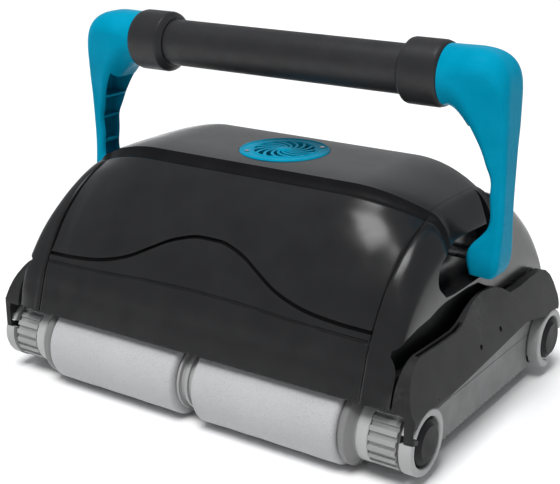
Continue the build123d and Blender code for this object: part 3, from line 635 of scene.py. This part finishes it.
# columns of an arch from the seam outwards: (x, share of the way to its foot, depth in millimetres)
BEAD = [(ARCH_X0, 0.0, 1.6), (0.1648, 0.0, 0.5), (0.1654, 0.0, -0.1), (0.1664, 0.0, -0.5),
        (0.1676, 0.0, -0.45)]
FLANK_X = 0.1682          # where the bead ends and the flank starts
ROUNDING = 0.78           # share of the way to the foot that is reached at the outer edge
FLANK = [(FLANK_X + (ARCH_X1 - FLANK_X) * sin(t), ROUNDING * (1 - cos(t)), -0.3 * max(0.2 - t, 0))
         for t in np.radians(np.linspace(5, 90, 22))]
ARCH_COLUMNS = BEAD + FLANK


def arch(side, sign):
    """A side arch: a raised bead at the seam, a flank that rounds over into a steep outer wall, the niche
    in which the handle's foot turns, and the channel above the side cover."""
    verts = []
    for x, share, down in ARCH_COLUMNS:
        lines = [mixed(p, q, share) for p, q in zip(SEAM, FOOT)]
        out = (x - ARCH_X0) / MM
        fall = 0.5 * out + 0.006 * out ** 2
        line = profile(*lines, HOOD_X / MM, lambda z: down * (1 - eased(z, 180, 185)), 0.0,
                       fall * (1 - 0.8 * share))
        verts += [(sign * x, y, z) for y, z in line]
    columns = len(ARCH_COLUMNS)
    rows = len(verts) // columns
    faces = grid_faces(columns, rows)
    last = (columns - 1) * rows
    faces += [tuple(range(rows)), tuple(range(last + rows - 1, last - 1, -1))]
    faces.append(tuple(i * rows for i in range(columns))
                 + tuple(i * rows + rows - 1 for i in reversed(range(columns))))
    body = new_object(f"{side}_arch_shell", verts, faces, "hood_black", 40)
    # painted shade across the band
    painted_shade_strips(body, rows, PAINTED_SHADE_IN_BAND)
    niche = prism_x("niche_cut", curve_through(NICHE, 4)[:-1] * MM, sign * NICHE_X, sign * CUT_X)
    slot = prism_z("slot_cut", [(sign * x, y) for x, y in SLOT], 0.128, 0.2)
    channel = prism_x("channel_cut", np.array(CHANNEL) * MM, sign * CHANNEL_X, sign * CUT_X)
    cut(body, niche, slot, channel)
    # the channel's outward-facing back wall takes the painted shade
    for face in body.data.polygons:
        if abs(abs(face.center.x) - CHANNEL_X) < 0.01 * MM and abs(face.normal.x) > 0.9:
            face.material_index = PAINTED_SHADE_SLOT
    tidy_normals(body, 40)
    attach(body, "chassis")
    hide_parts(f"{side}_side_arch")


# ---- soft parts ------------------------------------------------------------------------------------------
FOAM_CORE = 27.6 * MM                       # inner radius of the foam
FOAM_REACH, FOAM_DROP = 4 * MM, 5 * MM      # rounding of its ends, along and across
FOAM_DENT = 0.22 * MM


def foam_roller(end, side):
    """An open-cell foam tube with softly rounded, slightly uneven ends."""
    node = f"{end}_{side}_foam"
    low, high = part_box(node)
    radius = (high[2] - low[2]) / 2
    centre = (0, (low[1] + high[1]) / 2, (low[2] + high[2]) / 2)
    shoulder = radius - FOAM_DROP
    length = high[0] - low[0] - 2 * FOAM_REACH
    outline = [(low[0], FOAM_CORE), (low[0], shoulder)]
    for i in range(1, 6):
        angle = pi / 2 * i / 5
        outline.append((low[0] + FOAM_REACH * (1 - cos(angle)), shoulder + FOAM_DROP * sin(angle)))
    for i in range(1, 40):
        outline.append((low[0] + FOAM_REACH + length * i / 40, radius))
    for i in range(5):
        angle = pi / 2 * i / 5
        outline.append((high[0] - FOAM_REACH + FOAM_REACH * sin(angle), shoulder + FOAM_DROP * cos(angle)))
    outline += [(high[0], shoulder), (high[0], FOAM_CORE)]
    body = lathe(node.replace("foam", "roller_foam"), outline, centre, "X", "foam_grey", 144, 60)
    seed = len(node)
    for v in body.data.vertices:
        dy, dz = v.co.y - centre[1], v.co.z - centre[2]
        reach = (dy * dy + dz * dz) ** 0.5
        if reach > FOAM_CORE + 3 * MM:
            angle = np.arctan2(dz, dy)
            dent = FOAM_DENT * (1 + sin(3 * angle + 61 * v.co.x + seed) * cos(2 * angle - 113 * v.co.x))
            v.co.y -= dy / reach * dent
            v.co.z -= dz / reach * dent
    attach(body, f"{end}_{side}_roller")
    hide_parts(node)


def soft_block(name, low, high, corner, material, puff=0.0, cells=14):
    """A closed rounded block whose sides belly outwards by puff at their middles."""
    size = [(b - a) / 2 for a, b in zip(low, high)]
    middle = [(b + a) / 2 for a, b in zip(low, high)]
    bm = bmesh.new()
    bmesh.ops.create_cube(bm, size=2)
    bmesh.ops.subdivide_edges(bm, edges=bm.edges, cuts=cells, use_grid_fill=True)
    for v in bm.verts:
        unit = list(v.co)
        place = []
        inner = [max(s - corner, 0) for s in size]
        raw = [u * s for u, s in zip(unit, size)]
        near = [min(max(r, -i), i) for r, i in zip(raw, inner)]
        away = Vector([r - n for r, n in zip(raw, near)])
        if away.length > 0:
            away = away.normalized() * corner
        for k in range(3):
            others = [1 - unit[j] ** 2 for j in range(3) if j != k]
            belly = puff * others[0] * others[1] * (abs(unit[k]) > 0.98) * (1 if unit[k] > 0 else -1)
            place.append(middle[k] + near[k] + away[k] + belly)
        v.co = place
    mesh = bpy.data.meshes.new(name)
    bm.to_mesh(mesh)
    bm.free()
    obj = bpy.data.objects.new(name, mesh)
    bpy.context.scene.collection.objects.link(obj)
    mesh.materials.append(MATERIALS[material])
    tidy_normals(obj, 60)
    return obj


def float_blocks():
    """The two foam floats under the hood, one behind its front wall and one before its rear wall."""
    low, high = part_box("float_blocks")
    width = 26 * MM
    for name, y0, y1 in (("front", low[1], low[1] + width), ("rear", high[1] - width, high[1])):
        corners = (low[0], y0, low[2]), (high[0], y1, high[2])
        block = soft_block(f"{name}_float", *corners, 3 * MM, "float_foam")
        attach(block, "chassis")
        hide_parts("float_blocks")


def filter_bag():
    """The cloth bag over its wire frame: open at the bottom, its panels drawn in between the wires."""
    low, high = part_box("filter_bag")
    bag = soft_block("filter_cloth_bag", low, high, 7 * MM, "filter_cloth", -2.5 * MM, 22)
    bm = bmesh.new()
    bm.from_mesh(bag.data)
    floor = [f for f in bm.faces if f.calc_center_median().z < low[2] + 0.3 * MM]
    bmesh.ops.delete(bm, geom=floor, context="FACES")
    bm.to_mesh(bag.data)
    bm.free()
    wall = bag.modifiers.new("cloth", "SOLIDIFY")
    wall.thickness = 1.0 * MM
    wall.offset = -1
    applied(bag)
    tidy_normals(bag, 60)
    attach(bag, "chassis")
    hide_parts("filter_bag")


# ---- parts carried over from the CAD model ----------------------------------------------------------
# how far the edges of some of them are rounded, in millimetres
EDGE = {"side_cover": 1.2, "guard_rings": 0.5, "handle_arm": 0.6, "outlet_grille": 0.3, "screws": 0.25}
PLAIN_EDGE = 0.4


def dress_cad():
    """Every carried-over CAD part takes the material of its slot and softened edges."""
    for entry in frame["record"]["subparts"]:
        obj = NODES[entry["node"]]
        obj.data.materials.clear()
        obj.data.materials.append(MATERIALS[entry["material_slot"]])
        obj.data.polygons.foreach_set("use_smooth", [True] * len(obj.data.polygons))
        weld = obj.modifiers.new("weld", "WELD")
        weld.merge_threshold = 0.00001
        bevel = obj.modifiers.new("bevel", "BEVEL")
        kind = entry["node"].replace("right_", "").replace("left_", "")
        bevel.width = EDGE.get(kind, PLAIN_EDGE) * MM
        bevel.segments = 2
        bevel.limit_method = "ANGLE"
        bevel.angle_limit = radians(38)
        normals = obj.modifiers.new("normals", "WEIGHTED_NORMAL")
        normals.mode = "FACE_AREA_WITH_ANGLE"
        normals.weight = 80



# ---- the whole model -------------------------------------------------------------------------------
camera()
studio()
hood()
for side, sign in SIDES:
    arch(side, sign)
    for end, _ in ENDS:
        foam_roller(end, side)
float_blocks()
filter_bag()
dress_cad()
